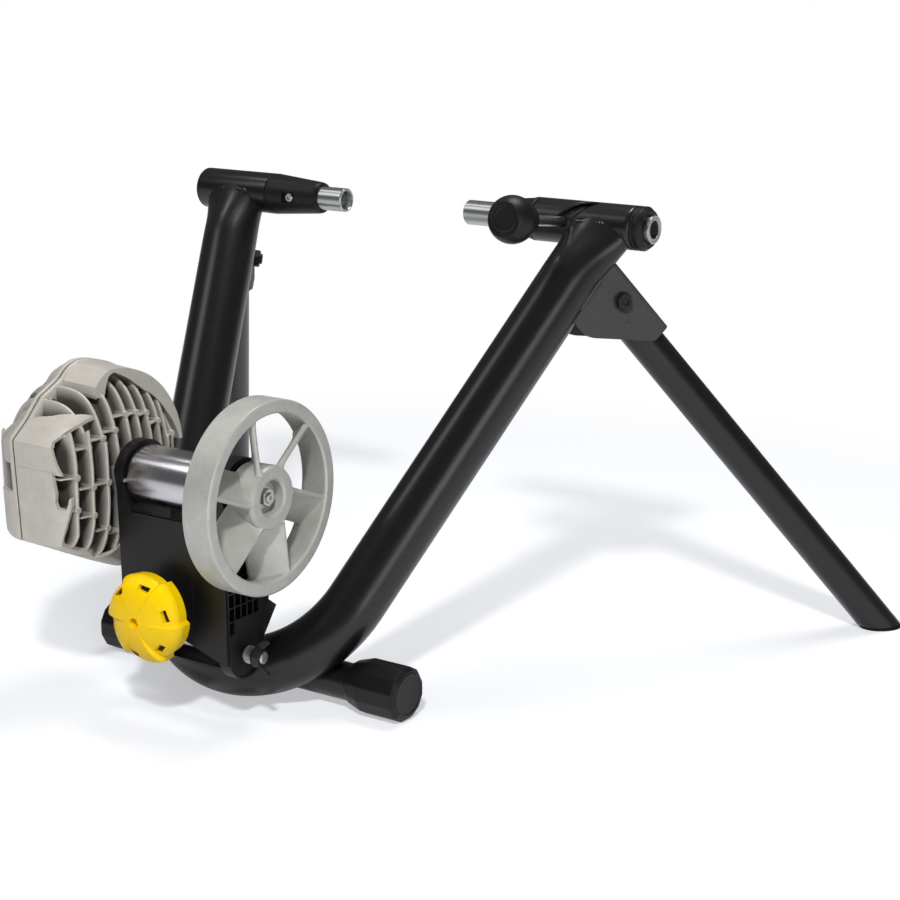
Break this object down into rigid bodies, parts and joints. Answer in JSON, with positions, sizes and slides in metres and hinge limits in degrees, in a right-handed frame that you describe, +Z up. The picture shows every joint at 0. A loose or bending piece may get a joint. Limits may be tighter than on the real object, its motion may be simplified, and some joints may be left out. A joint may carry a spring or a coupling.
{
  "type": "fluid bike trainer",
  "caption": "Indoor cycling stand: bent tube frame with folding legs, lever-clamped axle spindles, and a tilting roller with fan flywheel and finned fluid chamber.",
  "frame": {"origin": "centre of the footprint, on the floor", "axes": "+X along the clamped axle towards the flywheel side, +Y from the resistance unit towards the bicycle's front, +Z up"},
  "size_m": [0.8186, 0.6186, 0.4178],
  "materials": {
    "powder_coat": "satin black powder coat",
    "bracket_paint": "matt dark grey paint",
    "black_plastic": "moulded black plastic",
    "black_rubber": "black rubber",
    "zinc_plate": "bright zinc plate",
    "polished_aluminium": "polished",
    "cast_aluminium": "as cast, shot blasted",
    "cast_flywheel": "cast, machined rim and painted silver",
    "black_steel": "black oxide",
    "knob_yellow": "moulded yellow plastic"
  },
  "bodies": {
    "frame": {"main_frame_tube": "powder_coat", "right_crossbar": "powder_coat", "left_crossbar": "powder_coat", "right_nose_bush": "black_plastic", "left_nose_bush": "black_plastic", "left_set_screw": "zinc_plate", "right_end_cap": "black_plastic", "left_end_plug": "black_plastic", "right_leg_bracket": "bracket_paint", "left_leg_bracket": "bracket_paint", "right_leg_pivot_bolt": "black_steel", "left_leg_pivot_bolt": "black_steel", "right_leg_pivot_nut": "black_steel", "left_leg_pivot_nut": "black_steel", "right_bracket_rivet": "bracket_paint", "left_bracket_rivet": "bracket_paint", "foot_bar": "powder_coat", "pivot_bracket": "powder_coat", "pivot_bolt": "zinc_plate", "pivot_spring": "zinc_plate"},
    "right_leg": {"right_leg_tube": "powder_coat", "right_leg_foot": "black_rubber"},
    "left_leg": {"left_leg_tube": "powder_coat", "left_leg_foot": "black_rubber"},
    "right_foot_cap": {"right_foot_cap": "black_plastic"},
    "left_foot_cap": {"left_foot_cap": "black_plastic"},
    "left_spindle": {"left_spindle": "zinc_plate"},
    "right_spindle": {"right_spindle": "zinc_plate", "sleeve_keeper_ring": "black_steel"},
    "adjusting_collar": {"adjusting_collar": "zinc_plate"},
    "clamp_lever": {"lever_sleeve": "black_steel", "lever_rod": "zinc_plate", "lever_knob": "black_plastic"},
    "resistance_unit": {"yoke": "black_plastic", "left_bearing": "zinc_plate", "right_bearing": "zinc_plate", "inner_housing": "cast_aluminium", "outer_housing": "cast_aluminium", "housing_gasket": "black_rubber", "shaft_seal": "black_rubber", "housing_screw_1": "zinc_plate", "housing_screw_2": "zinc_plate", "housing_screw_3": "zinc_plate", "housing_screw_4": "zinc_plate"},
    "rotor": {"roller_shaft": "zinc_plate", "roller": "polished_aluminium", "flywheel": "cast_flywheel", "flywheel_washer": "zinc_plate", "flywheel_nut": "zinc_plate", "impeller": "cast_aluminium"},
    "cross_nut": {"cross_nut": "zinc_plate"},
    "tension_clutch": {"clutch_hub": "black_plastic", "clutch_spring": "zinc_plate"},
    "tension_screw": {"tension_knob": "knob_yellow", "tension_rod": "zinc_plate"},
    "wing_nut": {"wing_nut": "black_steel"}
  },
  "joints": [
    {"name": "right_leg_fold", "type": "hinge", "parent": "frame", "child": "right_leg", "pos_m": [0.21228, 0.08776, 0.32017], "axis": [-0.832, 0.5412, -0.1219], "range_deg": [0, 70]},
    {"name": "left_leg_fold", "type": "hinge", "parent": "frame", "child": "left_leg", "pos_m": [-0.21228, 0.08776, 0.32017], "axis": [-0.832, -0.5412, 0.1219], "range_deg": [0, 70]},
    {"name": "right_foot_cap_turn", "type": "hinge", "parent": "frame", "child": "right_foot_cap", "pos_m": [0.163, -0.14685, 0.0215], "axis": [1, 0, 0], "range_deg": [-180, 180]},
    {"name": "left_foot_cap_turn", "type": "hinge", "parent": "frame", "child": "left_foot_cap", "pos_m": [-0.163, -0.14685, 0.0215], "axis": [1, 0, 0], "range_deg": [-180, 180]},
    {"name": "left_spindle_slide", "type": "slide", "parent": "frame", "child": "left_spindle", "axis": [1, 0, 0], "range_m": [-0.02, 0]},
    {"name": "clamp_slide", "type": "slide", "parent": "frame", "child": "right_spindle", "axis": [1, 0, 0], "range_m": [0, 0.0251]},
    {"name": "lever_turn", "type": "hinge", "parent": "right_spindle", "child": "clamp_lever", "pos_m": [0.168, 0.09125, 0.384], "axis": [-1, 0, 0], "range_deg": [0, 75]},
    {"name": "adjusting_collar_turn", "type": "hinge", "parent": "right_spindle", "child": "adjusting_collar", "pos_m": [0.2466, 0.09125, 0.384], "axis": [1, 0, 0], "range_deg": [-180, 180]},
    {"name": "unit_tilt", "type": "hinge", "parent": "frame", "child": "resistance_unit", "pos_m": [0, -0.22465, 0.0606], "axis": [-1, 0, 0], "range_deg": [-6, 8]},
    {"name": "rotor_spin", "type": "hinge", "parent": "resistance_unit", "child": "rotor", "pos_m": [0, -0.22335, 0.1963], "axis": [1, 0, 0], "continuous": true},
    {"name": "tension_pitch", "type": "hinge", "parent": "frame", "child": "cross_nut", "pos_m": [0, -0.20075, 0.093], "axis": [-1, 0, 0], "range_deg": [-4, 5.5]},
    {"name": "tension_slide", "type": "slide", "parent": "cross_nut", "child": "tension_clutch", "axis": [0, 1, 0], "range_m": [-0.004, 0.006]},
    {"name": "tension_turn", "type": "hinge", "parent": "tension_clutch", "child": "tension_screw", "pos_m": [-0.006, -0.25875, 0.093], "axis": [0, 1, 0], "range_deg": [-850, 1150]},
    {"name": "wing_nut_turn", "type": "hinge", "parent": "frame", "child": "wing_nut", "pos_m": [0.067, -0.22465, 0.0606], "axis": [1, 0, 0], "continuous": true}
  ],
  "couplings": [
    {"joint": "clamp_slide", "follows": "lever_turn", "m_per_rad": 0.019099},
    {"joint": "tension_pitch", "follows": "unit_tilt", "ratio": 0.59},
    {"joint": "tension_slide", "follows": "unit_tilt", "m_per_rad": 0.03265},
    {"joint": "tension_turn", "follows": "unit_tilt", "ratio": 136.76}
  ]
}
